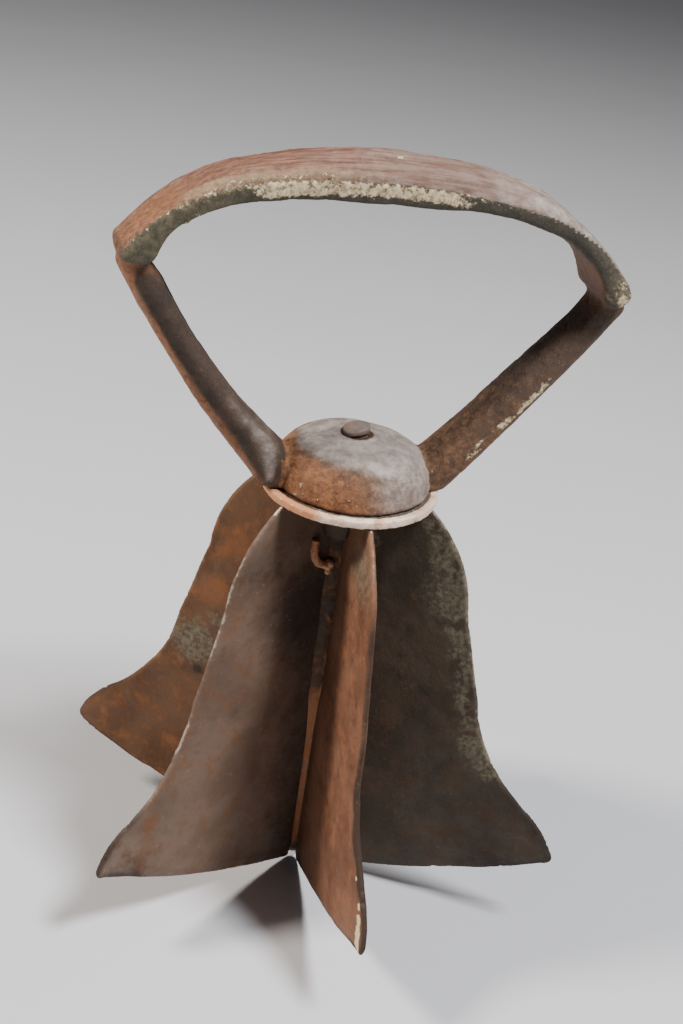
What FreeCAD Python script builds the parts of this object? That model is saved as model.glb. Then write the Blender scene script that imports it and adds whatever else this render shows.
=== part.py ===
import FreeCAD, Part
import math
import os
import Sketcher

# Six-bladed hand food chopper: a cast handle (palm grip, two arms and a domed hub) riveted over a
# cluster of sheet-steel blades.  Millimetres.  The origin is the lowest point on the blades' common
# axis, +Z runs up that axis, and the handle lies in the XZ plane.

SIZES = {
    # Blade: outline in its own radial plane, radius from the axis and height above the lowest point.
    "blade_gauge": 1.4,
    "blade_radius": 64.0,
    "blade_top": 106.4,
    "blade_root": 1.4,
    "blade_relief_radius": 4.6,
    "shoulder_reach": 19.5,
    "waist_upper_reach": 32.2,
    "waist_upper_height": 82.5,
    "waist_lower_reach": 38.6,
    "waist_lower_height": 60.5,
    "flare_reach": 56.5,
    "flare_height": 32.3,
    "tip_upper_height": 22.0,
    "tip_lower_reach": 61.6,
    "tip_lower_height": 19.4,
    "shoulder_arc": 34.0,
    "flare_arc": 43.0,
    "tip_outer_arc": 26.0,
    "tip_nose_arc": 2.4,
    "cutting_edge_arc": 250.0,
    "blade_1_angle": 30.0,
    "blade_2_angle": 90.0,
    "blade_3_angle": 148.0,
    "blade_4_angle": 209.0,
    "blade_5_angle": 272.0,
    "blade_6_angle": 331.0,
    "blade_1_wear": 0.0,
    "blade_2_wear": 4.0,
    "blade_3_wear": 0.0,
    "blade_4_wear": 2.5,
    "blade_5_wear": 6.0,
    "blade_6_wear": 0.0,
    "tenon_inner_reach": 7.5,
    "tenon_outer_reach": 13.2,
    "tenon_top": 110.0,
    # Spindle that rivets the whole stack together.
    "spindle_radius": 2.4,
    "spindle_foot": 3.0,
    "rivet_head_radius": 3.1,
    "rivet_head_base": 120.5,
    "rivet_head_edge": 121.8,
    "rivet_head_top": 122.2,
    # Flange plate and the slotted collar under it.
    "flange_radius": 20.1,
    "flange_top": 108.3,
    "tenon_slack": 0.05,
    "collar_top_radius": 10.0,
    "collar_foot_radius": 6.6,
    "collar_foot": 96.0,
    "collar_core_radius": 4.5,
    # Dome of the handle casting.
    "dome_radius": 18.0,
    "dome_shoulder_radius": 16.9,
    "dome_shoulder_height": 114.0,
    "dome_crown_radius": 8.0,
    "dome_crown_height": 118.8,
    "dome_shoulder_arc": 9.2,
    "dome_side_arc": 16.0,
    "dome_crown_arc": 20.0,
    "cavity_radius": 14.8,
    "cavity_top_radius": 11.5,
    "cavity_top": 114.8,
    "boss_radius": 5.2,
    # Arms.
    "arm_depth": 10.5,
    "arm_edge_round": 2.6,
    "arm_foot_outer": 21.3,
    "arm_foot_inner": 13.0,
    "arm_neck_reach": 15.8,
    "arm_neck_height": 116.2,
    "left_arm_outer": 55.9,
    "left_arm_outer_height": 157.2,
    "left_arm_inner": 47.2,
    "left_arm_inner_height": 155.6,
    "left_arm_outer_arc": 270.0,
    "left_arm_inner_arc": 141.0,
    "right_arm_outer": 55.4,
    "right_arm_outer_height": 153.4,
    "right_arm_inner": 49.0,
    "right_arm_inner_height": 155.2,
    "right_arm_outer_arc": 700.0,
    "right_arm_inner_arc": 700.0,
    "arm_head_reach": 52.0,
    "arm_head_height": 161.0,
    # Grip: a crowned strap swept along an arch, with a rounded lug at each end.
    "grip_width": 18.5,
    "grip_half_width": 9.25,
    "grip_underside": 175.4,
    "grip_edge_top": 179.4,
    "grip_crown_arc": 13.4,
    "arch_arc": 140.0,
    "arch_end_reach": 30.0,
    "arch_end_height": 172.15,
    "knee_arc": 35.87,
    "knee_reach": 50.5,
    "knee_height": 159.3,
    "lug_outer_reach": 55.0,
    "lug_height": 159.9,
    "lug_inner_reach": 47.6,
    "lug_nose_arc": 3.72,
    "lug_back_reach": 43.5,
    "lug_back_height": 169.1,
    "lug_back_arc": 34.0,
    "lug_web_reach": 37.5,
    "lug_web_height": 169.8,
    "lug_web_arc": 16.0,
    "grip_tilt": 1.8,
    "crown_top": 183.2,
    "crown_bend_reach": 34.0,
    "crown_bend_height": 177.2,
    "crown_end_reach": 56.5,
    "crown_end_height": 158.5,
    "crown_upper_arc": 100.0,
    "crown_end_arc": 65.0,
    "trim_reach": 70.0,
    "trim_top": 195.0,
    "thin_start_reach": 7.0,
    "thin_start_height": 175.1,
    "thin_end_reach": 38.9,
    "thin_end_height": 169.4,
    "thin_floor": 168.0,
    "thin_arc": 70.0,
    # Braze.
    "fillet_leg": 4.6,
    "fillet_arc": 3.0,
    "fillet_foot": 32.0,
    "drip_radius": 0.95,
    "drip_reach": 9.3,
    "drip_bend": 93.2,
    "drip_end_reach": 4.4,
    "drip_end": 88.3,
    "drip_arc": 4.9,
    "drip_offset": 1.4,
    "drip_bulb_radius": 1.35,
    "drip_tail_radius": 0.9,
    "drip_tail_reach": 4.1,
    "drip_tail": 86.2,
}

BLADES = 6
DRIP_BLADE = 4

doc = FreeCAD.newDocument("HandChopper")
sheet = doc.addObject("Spreadsheet::Sheet", "Sizes")


def fill_sheet():
    for row, (name, value) in enumerate(SIZES.items(), start=1):
        sheet.set(f"A{row}", name)
        sheet.set(f"B{row}", str(value))
        sheet.setAlias(f"B{row}", name)
    doc.recompute()


def size(rule):
    """Value of a sheet name, or of one name less another, written "reach - wear"."""
    first, *less = (float(sheet.get(name)) for name in rule.split(" - "))
    return first - sum(less)


def formula(rule):
    return " - ".join(f"Sizes.{name}" for name in rule.split(" - "))


def bind(target, prop, expression):
    target.setExpression(prop, expression)


def origin_plane(body, role):
    for feature in body.Origin.OriginFeatures:
        if feature.Role == role:
            return feature
    raise ValueError(role)


def new_body(name):
    return doc.addObject("PartDesign::Body", name)


def new_sketch(body, name, role):
    sketch = body.newObject("Sketcher::SketchObject", name)
    sketch.AttachmentSupport = [(origin_plane(body, role), "")]
    sketch.MapMode = "FlatFace"
    return sketch


def arc_between(start, end, radius, side):
    """Arc from start to end that bulges to the left (side 1) or the right (side -1) of its chord."""
    half = (end - start) * 0.5
    rise = radius - math.sqrt(radius**2 - half.Length**2)
    across = FreeCAD.Vector(-half.y, half.x, 0).normalize() * side
    return Part.Arc(start, start + half + across * rise, end)


def pin(sketch, geometry, end, names):
    """Hold one end of a line or arc at the sheet's named x and y; None means on the axis."""
    kinds = (("DistanceX", -2), ("DistanceY", -1))
    for (kind, axis), name in zip(kinds, names):
        if name is None:
            sketch.addConstraint(Sketcher.Constraint("PointOnObject", geometry, end, axis))
            continue
        rule = Sketcher.Constraint(kind, -1, 1, geometry, end, size(name))
        index = sketch.addConstraint(rule)
        bind(sketch, f"Constraints[{index}]", formula(name))


def draw(sketch, corners, arcs=None, closed=True):
    """Draw an outline through named corners.  arcs maps a corner's place in the list to the radius name
    and side of the arc that leaves it; every other stretch is straight."""
    arcs = arcs or {}
    points = [FreeCAD.Vector(*(size(n) if n else 0.0 for n in corner), 0) for corner in corners]
    count = len(points) if closed else len(points) - 1
    ends = []
    for i in range(count):
        start = points[i]
        end = points[(i + 1) % len(points)]
        if i in arcs:
            radius, side = arcs[i]
            index = sketch.addGeometry(arc_between(start, end, size(radius), side))
            ends.append((index, 1, 2) if side < 0 else (index, 2, 1))
        else:
            index = sketch.addGeometry(Part.LineSegment(start, end))
            ends.append((index, 1, 2))
    for i, (index, first, last) in enumerate(ends):
        pin(sketch, index, first, corners[i])
        if closed or i + 1 < count:
            following, start_point, _ = ends[(i + 1) % count]
            sketch.addConstraint(Sketcher.Constraint("Coincident", index, last, following, start_point))
        else:
            pin(sketch, index, last, corners[-1])
        if i in arcs:
            rule = Sketcher.Constraint("Radius", index, size(arcs[i][0]))
            bind(sketch, f"Constraints[{sketch.addConstraint(rule)}]", f"Sizes.{arcs[i][0]}")


def pad(body, name, sketch, length, symmetric=False):
    feature = body.newObject("PartDesign::Pad", name)
    feature.Profile = sketch
    feature.SideType = "Symmetric" if symmetric else "One side"
    bind(feature, "Length", length)
    return feature


def spin(body, name, kind, sketch):
    """Revolve a sketch (Revolution adds, Groove cuts) a full turn about its vertical axis."""
    feature = body.newObject(f"PartDesign::{kind}", name)
    feature.Profile = sketch
    feature.ReferenceAxis = (sketch, ["V_Axis"])
    feature.Angle = 360
    return feature


def blade(number):
    """One radial blade: flared outline, convex cutting edge, a tenon for the flange plate.
    Sharpening has taken more off some tips than off others."""
    name = f"blade_{number}"
    wear = f"{name}_wear"
    body = new_body(name)
    outline = new_sketch(body, name + "_outline", "XZ_Plane")
    corners = [
        ("blade_root", None),
        ("spindle_radius", None),
        (f"tip_lower_reach - {wear}", "tip_lower_height"),
        (f"blade_radius - {wear}", "tip_upper_height"),
        (f"flare_reach - {wear}", "flare_height"),
        ("waist_lower_reach", "waist_lower_height"),
        ("waist_upper_reach", "waist_upper_height"),
        ("shoulder_reach", "blade_top"),
        ("tenon_outer_reach", "blade_top"),
        ("tenon_outer_reach", "tenon_top"),
        ("tenon_inner_reach", "tenon_top"),
        ("tenon_inner_reach", "blade_top"),
        ("blade_root", "blade_top"),
    ]
    arcs = {
        1: ("cutting_edge_arc", -1),
        2: ("tip_nose_arc", -1),
        3: ("tip_outer_arc", -1),
        4: ("flare_arc", 1),
        6: ("shoulder_arc", -1),
    }
    draw(outline, corners, arcs)
    pad(body, name + "_plate", outline, "Sizes.blade_gauge", symmetric=True)
    relief = new_sketch(body, name + "_relief", "XZ_Plane")
    relief_corners = [
        (None, None),
        ("spindle_radius", None),
        ("spindle_radius", "collar_foot"),
        ("blade_relief_radius", "collar_foot"),
        ("blade_relief_radius", "blade_top"),
        (None, "blade_top"),
    ]
    draw(relief, relief_corners)
    spin(body, name + "_seat", "Groove", relief)
    turn = FreeCAD.Rotation(size(f"{name}_angle"), 0, 0)
    body.Placement = FreeCAD.Placement(FreeCAD.Vector(), turn)
    bind(body, "Placement.Rotation.Angle", f"Sizes.{name}_angle")
    return body


def spindle():
    """Long rivet through the blades, collar, plate and dome, upset into a domed head on top."""
    body = new_body("spindle")
    half = new_sketch(body, "spindle_half", "XZ_Plane")
    corners = [
        (None, "spindle_foot"),
        ("spindle_radius", "spindle_foot"),
        ("spindle_radius", "rivet_head_base"),
        ("rivet_head_radius", "rivet_head_base"),
        ("rivet_head_radius", "rivet_head_edge"),
        (None, "rivet_head_top"),
    ]
    draw(half, corners)
    spin(body, "spindle_rod", "Revolution", half)
    return body


def cut_through(body, name, sketch):
    """Cut the sketch right through the body, to both sides of its plane."""
    doc.recompute()
    before = body.Shape.Volume
    cut = body.newObject("PartDesign::Pocket", name)
    cut.Profile = sketch
    cut.SideType = "Symmetric"
    cut.Type = "ThroughAll"
    doc.recompute()
    if body.Shape.Volume >= before:
        raise RuntimeError(name + " removed nothing")
    return cut


def cut_blade_slots(body, inner, outer):
    """Cut a radial slot for each blade, one gauge wide plus slack, right through a body."""
    half = size("blade_gauge") / 2 + size("tenon_slack")
    left, right = size(inner), size(outer)
    corners = [(left, -half), (right, -half), (right, half), (left, half)]
    points = [FreeCAD.Vector(x, y, 0) for x, y in corners]
    for number in range(1, BLADES + 1):
        name = f"{body.Name}_slot_{number}"
        slot = new_sketch(body, name, "XY_Plane")
        for i, point in enumerate(points):
            slot.addGeometry(Part.LineSegment(point, points[(i + 1) % 4]))
        for i in range(4):
            slot.addConstraint(Sketcher.Constraint("Coincident", i, 2, (i + 1) % 4, 1))
        slot.addConstraint(Sketcher.Constraint("Horizontal", 0))
        slot.addConstraint(Sketcher.Constraint("Symmetric", 1, 1, 1, 2, -1))
        slot.addConstraint(Sketcher.Constraint("Symmetric", 3, 1, 3, 2, -1))
        width = slot.addConstraint(Sketcher.Constraint("DistanceY", 1, 1, 1, 2, 2 * half))
        bind(slot, f"Constraints[{width}]", "Sizes.blade_gauge + 2 * Sizes.tenon_slack")
        for end, rule in ((1, inner), (2, outer)):
            index = slot.addConstraint(Sketcher.Constraint("DistanceX", -1, 1, 0, end, size(rule)))
            bind(slot, f"Constraints[{index}]", formula(rule))
        turn = FreeCAD.Rotation(size(f"blade_{number}_angle"), 0, 0)
        slot.AttachmentOffset = FreeCAD.Placement(FreeCAD.Vector(), turn)
        cut_through(body, name + "_cut", slot)


def flange_plate():
    """Round plate under the dome, with a spindle hole and a slot for each blade's tenon."""
    body = new_body("flange_plate")
    half = new_sketch(body, "flange_half", "XZ_Plane")
    corners = [
        ("spindle_radius", "blade_top"),
        ("flange_radius", "blade_top"),
        ("flange_radius", "flange_top"),
        ("spindle_radius", "flange_top"),
    ]
    draw(half, corners)
    spin(body, "flange_disc", "Revolution", half)
    cut_blade_slots(body, "tenon_inner_reach", "tenon_outer_reach")
    return body


def hub_collar():
    """Tapered collar under the plate; the blades' inner corners sit in its slots."""
    body = new_body("hub_collar")
    half = new_sketch(body, "collar_half", "XZ_Plane")
    corners = [
        ("spindle_radius", "collar_foot"),
        ("collar_foot_radius", "collar_foot"),
        ("collar_top_radius", "blade_top"),
        ("spindle_radius", "blade_top"),
    ]
    draw(half, corners)
    spin(body, "collar_cone", "Revolution", half)
    cut_blade_slots(body, "collar_core_radius", "collar_top_radius")
    return body


def grip():
    """Palm grip: strap swept along the arch, with a lug at each end.  Its crown is highest in the
    middle and is taken down towards the lugs, and its right side is thinner from below."""
    body = new_body("grip")
    section = new_sketch(body, "grip_section", "YZ_Plane")
    half_width = size("grip_half_width")
    low, high = size("grip_underside"), size("grip_edge_top")
    corners = [(-half_width, low), (half_width, low), (half_width, high), (-half_width, high)]
    points = [FreeCAD.Vector(x, y, 0) for x, y in corners]
    section.addGeometry(Part.LineSegment(points[0], points[1]))
    section.addGeometry(Part.LineSegment(points[1], points[2]))
    section.addGeometry(arc_between(points[2], points[3], size("grip_crown_arc"), -1))
    section.addGeometry(Part.LineSegment(points[3], points[0]))
    for i in range(4):
        section.addConstraint(Sketcher.Constraint("Coincident", i, 2, (i + 1) % 4, 1))
    section.addConstraint(Sketcher.Constraint("Symmetric", 0, 1, 0, 2, -2))
    section.addConstraint(Sketcher.Constraint("Vertical", 1))
    section.addConstraint(Sketcher.Constraint("Vertical", 3))
    sized = (
        ("DistanceX", 0, 1, 0, 2, "grip_width"),
        ("DistanceY", -1, 1, 0, 1, "grip_underside"),
        ("DistanceY", -1, 1, 1, 2, "grip_edge_top"),
        ("DistanceY", -1, 1, 3, 1, "grip_edge_top"),
    )
    for kind, first, first_end, second, second_end, name in sized:
        rule = Sketcher.Constraint(kind, first, first_end, second, second_end, size(name))
        bind(section, f"Constraints[{section.addConstraint(rule)}]", f"Sizes.{name}")
    rule = Sketcher.Constraint("Radius", 2, size("grip_crown_arc"))
    bind(section, f"Constraints[{section.addConstraint(rule)}]", "Sizes.grip_crown_arc")
    arch = new_sketch(body, "grip_arch", "XZ_Plane")
    corners = [
        (None, "grip_underside"),
        ("arch_end_reach", "arch_end_height"),
        ("knee_reach", "knee_height"),
    ]
    draw(arch, corners, {0: ("arch_arc", 1), 1: ("knee_arc", 1)}, closed=False)
    doc.recompute()
    strap = body.newObject("PartDesign::AdditivePipe", "grip_strap")
    strap.Profile = section
    strap.Spine = arch
    strap.Mode = "Standard"
    lug = new_sketch(body, "lug_profile", "XZ_Plane")
    corners = [
        ("lug_web_reach", "lug_web_height"),
        ("lug_inner_reach", "lug_height"),
        ("lug_outer_reach", "lug_height"),
        ("lug_back_reach", "lug_back_height"),
    ]
    arcs = {0: ("lug_web_arc", 1), 1: ("lug_nose_arc", -1), 2: ("lug_back_arc", -1)}
    draw(lug, corners, arcs)
    lug_pad = pad(body, "lug", lug, "Sizes.grip_width", symmetric=True)
    crown = new_sketch(body, "crown_line", "XZ_Plane")
    corners = [
        (None, "crown_top"),
        ("crown_bend_reach", "crown_bend_height"),
        ("crown_end_reach", "crown_end_height"),
        ("trim_reach", "crown_end_height"),
        ("trim_reach", "trim_top"),
        (None, "trim_top"),
    ]
    draw(crown, corners, {0: ("crown_upper_arc", 1), 1: ("crown_end_arc", 1)})
    crown_trim = cut_through(body, "crown_trim", crown)
    other_half = body.newObject("PartDesign::Mirrored", "other_half")
    other_half.Originals = [strap, lug_pad, crown_trim]
    other_half.MirrorPlane = (origin_plane(body, "YZ_Plane"), [""])
    body.Tip = other_half
    thin = new_sketch(body, "thin_side_line", "XZ_Plane")
    corners = [
        ("thin_start_reach", "thin_start_height"),
        ("thin_start_reach", "thin_floor"),
        ("thin_end_reach", "thin_floor"),
        ("thin_end_reach", "thin_end_height"),
    ]
    draw(thin, corners, {3: ("thin_arc", -1)})
    cut_through(body, "thin_side_trim", thin)
    centre = FreeCAD.Vector(0, 0, size("grip_underside"))
    tilt = FreeCAD.Rotation(FreeCAD.Vector(0, 1, 0), size("grip_tilt"))
    body.Placement = FreeCAD.Placement(FreeCAD.Vector(), tilt, centre)
    return body


def arm(side, mirrored):
    """One arm, from the lug down to the rim of the dome, with rounded long edges."""
    name = side + "_arm"
    body = new_body(name)
    outline = new_sketch(body, name + "_outline", "XZ_Plane")
    corners = [
        ("arm_foot_inner", "flange_top"),
        ("arm_foot_outer", "flange_top"),
        (side + "_arm_outer", side + "_arm_outer_height"),
        ("arm_head_reach", "arm_head_height"),
        (side + "_arm_inner", side + "_arm_inner_height"),
        ("arm_neck_reach", "arm_neck_height"),
    ]
    arcs = {1: (side + "_arm_outer_arc", -1), 4: (side + "_arm_inner_arc", 1)}
    draw(outline, corners, arcs)
    bar = pad(body, name + "_bar", outline, "Sizes.arm_depth", symmetric=True)
    doc.recompute()
    shortest_edge = 30.0
    long_edges = [
        f"Edge{i}"
        for i, edge in enumerate(bar.Shape.Edges, start=1)
        if edge.Length > shortest_edge
    ]
    rounded = body.newObject("PartDesign::Fillet", name + "_rounds")
    rounded.Base = (bar, long_edges)
    bind(rounded, "Radius", "Sizes.arm_edge_round")
    if mirrored:
        half_turn = FreeCAD.Rotation(FreeCAD.Vector(0, 0, 1), 180)
        body.Placement = FreeCAD.Placement(FreeCAD.Vector(), half_turn)
    return body


def dome():
    """Outer form of the hub: near-upright sides rolling over into a flat crown."""
    body = new_body("dome")
    half = new_sketch(body, "dome_half", "XZ_Plane")
    corners = [
        (None, "flange_top"),
        ("dome_radius", "flange_top"),
        ("dome_shoulder_radius", "dome_shoulder_height"),
        ("dome_crown_radius", "dome_crown_height"),
        (None, "rivet_head_base"),
    ]
    arcs = {
        1: ("dome_side_arc", -1),
        2: ("dome_shoulder_arc", -1),
        3: ("dome_crown_arc", -1),
    }
    draw(half, corners, arcs)
    spin(body, "dome_solid", "Revolution", half)
    return body


def dome_core():
    """Space inside the dome: a ring-shaped hollow around the boss that the spindle passes through."""
    body = new_body("dome_core")
    hollow = new_sketch(body, "hollow_half", "XZ_Plane")
    corners = [
        ("boss_radius", "flange_top"),
        ("cavity_radius", "flange_top"),
        ("cavity_top_radius", "cavity_top"),
        ("boss_radius", "cavity_top"),
    ]
    draw(hollow, corners)
    spin(body, "hollow", "Revolution", hollow)
    return body


def spindle_hole():
    hole = doc.addObject("Part::Cylinder", "spindle_hole")
    bind(hole, "Radius", "Sizes.spindle_radius")
    bind(hole, "Height", "Sizes.rivet_head_top - Sizes.flange_top")
    bind(hole, "Placement.Base.z", "Sizes.flange_top")
    return hole


def handle_casting():
    """Grip, arms and domed hub: one casting, hollow under the dome and bored for the spindle."""
    whole = doc.addObject("Part::MultiFuse", "casting_outside")
    whole.Shapes = [dome(), arm("right", False), arm("left", True), grip()]
    inside = doc.addObject("Part::MultiFuse", "casting_inside")
    head_room = doc.addObject("Part::Cylinder", "head_room")
    bind(head_room, "Radius", "Sizes.rivet_head_radius")
    bind(head_room, "Height", "Sizes.rivet_head_top - Sizes.rivet_head_base")
    bind(head_room, "Placement.Base.z", "Sizes.rivet_head_base")
    inside.Shapes = [dome_core(), spindle_hole(), head_room]
    casting = doc.addObject("Part::Cut", "handle_casting")
    casting.Base = whole
    casting.Tool = inside
    return casting


def braze_run(number):
    """Concave run of braze in the corner between one blade and the next, down the spindle."""
    name = f"braze_run_{number}"
    body = new_body(name)
    following = number % BLADES + 1
    start, stop = size(f"blade_{number}_angle"), size(f"blade_{following}_angle")
    half_gap = ((stop - start) % 360) / 2
    lean = math.radians(half_gap)
    half_gauge = size("blade_gauge") / 2
    leg = size("fillet_leg")
    reach = leg * math.cos(lean) + half_gauge * math.sin(lean)
    half_width = leg * math.sin(lean) - half_gauge * math.cos(lean)
    root = FreeCAD.Vector(half_gauge / math.sin(lean), 0, 0)
    right = FreeCAD.Vector(reach, -half_width, 0)
    left = FreeCAD.Vector(reach, half_width, 0)
    profile = new_sketch(body, name + "_profile", "XY_Plane")
    profile.addGeometry(Part.LineSegment(root, right))
    profile.addGeometry(arc_between(right, left, size("fillet_arc"), 1))
    profile.addGeometry(Part.LineSegment(left, root))
    profile.addConstraint(Sketcher.Constraint("Coincident", 0, 2, 1, 2))
    profile.addConstraint(Sketcher.Constraint("Coincident", 1, 1, 2, 1))
    profile.addConstraint(Sketcher.Constraint("Coincident", 2, 2, 0, 1))
    foot = FreeCAD.Vector(0, 0, size("fillet_foot"))
    profile.AttachmentOffset = FreeCAD.Placement(foot, FreeCAD.Rotation())
    pad(body, name + "_bar", profile, "Sizes.collar_foot - Sizes.fillet_foot")
    seat = new_sketch(body, name + "_seat", "XZ_Plane")
    corners = [
        (None, None),
        ("spindle_radius", None),
        ("spindle_radius", "blade_top"),
        (None, "blade_top"),
    ]
    draw(seat, corners)
    spin(body, name + "_groove", "Groove", seat)
    turn = FreeCAD.Rotation(start + half_gap, 0, 0)
    body.Placement = FreeCAD.Placement(FreeCAD.Vector(), turn)
    return body


def braze_fillets():
    """All six runs, as one group of separate solids."""
    group = doc.addObject("Part::Compound", "braze_fillets")
    group.Links = [braze_run(number) for number in range(1, BLADES + 1)]
    return group


def drip_ball(name, radius, reach, height, turn):
    """Round blob of braze on the drip, placed in the same radial frame as the drip's rod."""
    ball = doc.addObject("Part::Sphere", name)
    bind(ball, "Radius", f"Sizes.{radius}")
    spot = FreeCAD.Vector(size(reach), size("drip_offset"), size(height))
    ball.Placement = FreeCAD.Placement(turn.multVec(spot), turn)
    return ball


def braze_drip(neighbours):
    """Curled drip of braze down one face of a blade, trimmed flush to everything it ran against."""
    turn = FreeCAD.Rotation(size(f"blade_{DRIP_BLADE}_angle"), 0, 0)
    body = new_body("drip_rod")
    face = FreeCAD.Placement(FreeCAD.Vector(0, 0, -size("drip_offset")), FreeCAD.Rotation())
    path = new_sketch(body, "drip_path", "XZ_Plane")
    path.AttachmentOffset = face
    corners = [
        ("drip_reach", "collar_foot"),
        ("drip_reach", "drip_bend"),
        ("drip_end_reach", "drip_end"),
    ]
    draw(path, corners, {1: ("drip_arc", 1)}, closed=False)
    section = new_sketch(body, "drip_section", "XY_Plane")
    section.AttachmentOffset = FreeCAD.Placement(
        FreeCAD.Vector(0, 0, size("collar_foot")), FreeCAD.Rotation()
    )
    centre = FreeCAD.Vector(size("drip_reach"), size("drip_offset"), 0)
    section.addGeometry(Part.Circle(centre, FreeCAD.Vector(0, 0, 1), size("drip_radius")))
    round_rule = section.addConstraint(Sketcher.Constraint("Radius", 0, size("drip_radius")))
    bind(section, f"Constraints[{round_rule}]", "Sizes.drip_radius")
    pin(section, 0, 3, ("drip_reach", "drip_offset"))
    doc.recompute()
    rod = body.newObject("PartDesign::AdditivePipe", "drip_run")
    rod.Profile = section
    rod.Spine = path
    body.Placement = FreeCAD.Placement(FreeCAD.Vector(), turn)
    whole = doc.addObject("Part::MultiFuse", "drip_whole")
    whole.Shapes = [
        body,
        drip_ball("drip_bulb", "drip_bulb_radius", "drip_end_reach", "drip_end", turn),
        drip_ball("drip_tail", "drip_tail_radius", "drip_tail_reach", "drip_tail", turn),
    ]
    beside = doc.addObject("Part::MultiFuse", "drip_neighbours")
    beside.Shapes = neighbours
    drip = doc.addObject("Part::Cut", "braze_drip")
    drip.Base = whole
    drip.Tool = beside
    return drip


def main():
    fill_sheet()
    collar = hub_collar()
    blades = [blade(number) for number in range(1, BLADES + 1)]
    fillets = braze_fillets()
    drip = braze_drip([blades[DRIP_BLADE - 1], fillets.Links[DRIP_BLADE - 1]])
    parts = [handle_casting(), spindle(), flange_plate(), collar, *blades, fillets, drip]
    doc.recompute()
    for item in doc.Objects:
        if {"Invalid", "Error"} & set(item.State):
            raise RuntimeError(f"{item.Label} failed: {item.getStatusString()}")
    os.makedirs("parts", exist_ok=True)
    for part in parts:
        shape = part.Shape
        if shape.isNull() or not shape.isValid():
            raise RuntimeError(part.Label + " has no valid shape")
        shape.exportStep(f"parts/{part.Label}.step")
        box = shape.BoundBox
        print(part.Label, len(shape.Solids), round(shape.Volume, 1), box)


main()
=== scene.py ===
import math
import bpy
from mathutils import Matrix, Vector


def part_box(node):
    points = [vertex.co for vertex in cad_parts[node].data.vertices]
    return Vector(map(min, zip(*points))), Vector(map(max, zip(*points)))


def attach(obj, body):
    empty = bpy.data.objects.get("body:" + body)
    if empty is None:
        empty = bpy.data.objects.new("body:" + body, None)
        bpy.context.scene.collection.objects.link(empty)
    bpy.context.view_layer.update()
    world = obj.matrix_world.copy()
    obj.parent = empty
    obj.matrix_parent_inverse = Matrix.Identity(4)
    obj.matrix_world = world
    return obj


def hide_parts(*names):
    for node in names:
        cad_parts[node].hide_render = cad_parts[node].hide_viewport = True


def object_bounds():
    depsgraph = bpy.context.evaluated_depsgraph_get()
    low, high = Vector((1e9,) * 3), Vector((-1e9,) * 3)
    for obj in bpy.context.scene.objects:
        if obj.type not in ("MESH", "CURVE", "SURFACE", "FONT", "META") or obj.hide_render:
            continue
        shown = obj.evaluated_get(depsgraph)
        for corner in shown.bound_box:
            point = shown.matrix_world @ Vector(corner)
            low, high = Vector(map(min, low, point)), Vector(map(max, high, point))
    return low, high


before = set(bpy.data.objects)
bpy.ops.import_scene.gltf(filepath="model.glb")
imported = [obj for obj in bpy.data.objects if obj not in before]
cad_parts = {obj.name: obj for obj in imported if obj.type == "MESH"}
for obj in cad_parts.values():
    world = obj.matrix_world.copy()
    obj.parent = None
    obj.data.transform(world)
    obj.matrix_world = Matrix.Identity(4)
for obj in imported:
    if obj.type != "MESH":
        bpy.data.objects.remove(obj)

from types import SimpleNamespace

import bmesh
import bpy
import numpy as np
from mathutils import Matrix, Vector, kdtree, noise

# A rusted six-bladed hand food chopper.  Every visible piece is a remeshed, worn copy of its CAD node,
# with a procedural material.  Metres; MM turns millimetres into metres.

MM = 0.001
CAD_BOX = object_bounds()
SEED = 41
BLADES = 6

# From the frame
HANDLE_LOW, HANDLE_HIGH = (np.array(corner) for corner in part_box("handle_casting"))
PLATE_LOW = np.array(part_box("flange_plate")[0])

# The casting: the front face of its grip, its lugs' lower ends, its dome, and the ring round its rivet
GRIP_FRONT = -9.25 * MM
LUG_BASE = 156.0 * MM
DOME_REACH = 18.0 * MM
RIVET_RING = 3.2 * MM

# The grip's rim is looked up in cells along X, from points further out in Y than the inset
RIM_CELLS = 90
RIM_INSET = 8.0 * MM

# Fineness of the worn copies, and of the places along a blade's free edges
HANDLE_VOXEL = 0.45 * MM
BLADE_VOXEL = 0.42 * MM
RIM_SPACING = 0.2 * MM

# Share of the way to its neighbours' average that a point moves in each round of smoothing
RELAX_STEP = 0.6


# ---------------------------------------------------------------- mesh tools

def copy_of(node, name):
    """New object with the node's mesh, its shared corners welded so that it is one closed skin."""
    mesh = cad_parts[node].data.copy()
    mesh.name = name
    mesh.materials.clear()
    work = bmesh.new()
    work.from_mesh(mesh)
    bmesh.ops.remove_doubles(work, verts=work.verts, dist=1e-6)
    work.to_mesh(mesh)
    work.free()
    piece = bpy.data.objects.new(name, mesh)
    bpy.context.scene.collection.objects.link(piece)
    return piece


def remesh(piece, voxel):
    """Replace the piece's mesh by an even skin of quads, voxel metres across."""
    modifier = piece.modifiers.new("skin", "REMESH")
    modifier.mode = "VOXEL"
    modifier.voxel_size = voxel
    modifier.use_smooth_shade = True
    graph = bpy.context.evaluated_depsgraph_get()
    mesh = bpy.data.meshes.new_from_object(piece.evaluated_get(graph))
    piece.modifiers.clear()
    piece.data = mesh
    mesh.name = piece.name


def points_of(mesh):
    co = np.empty(len(mesh.vertices) * 3)
    mesh.vertices.foreach_get("co", co)
    return co.reshape(-1, 3)


def set_points(mesh, co):
    mesh.vertices.foreach_set("co", co.ravel())
    mesh.update()


def normals_of(mesh):
    values = np.empty(len(mesh.vertices) * 3, dtype=np.float32)
    mesh.vertex_normals.foreach_get("vector", values)
    return values.reshape(-1, 3).astype(float)


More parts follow.
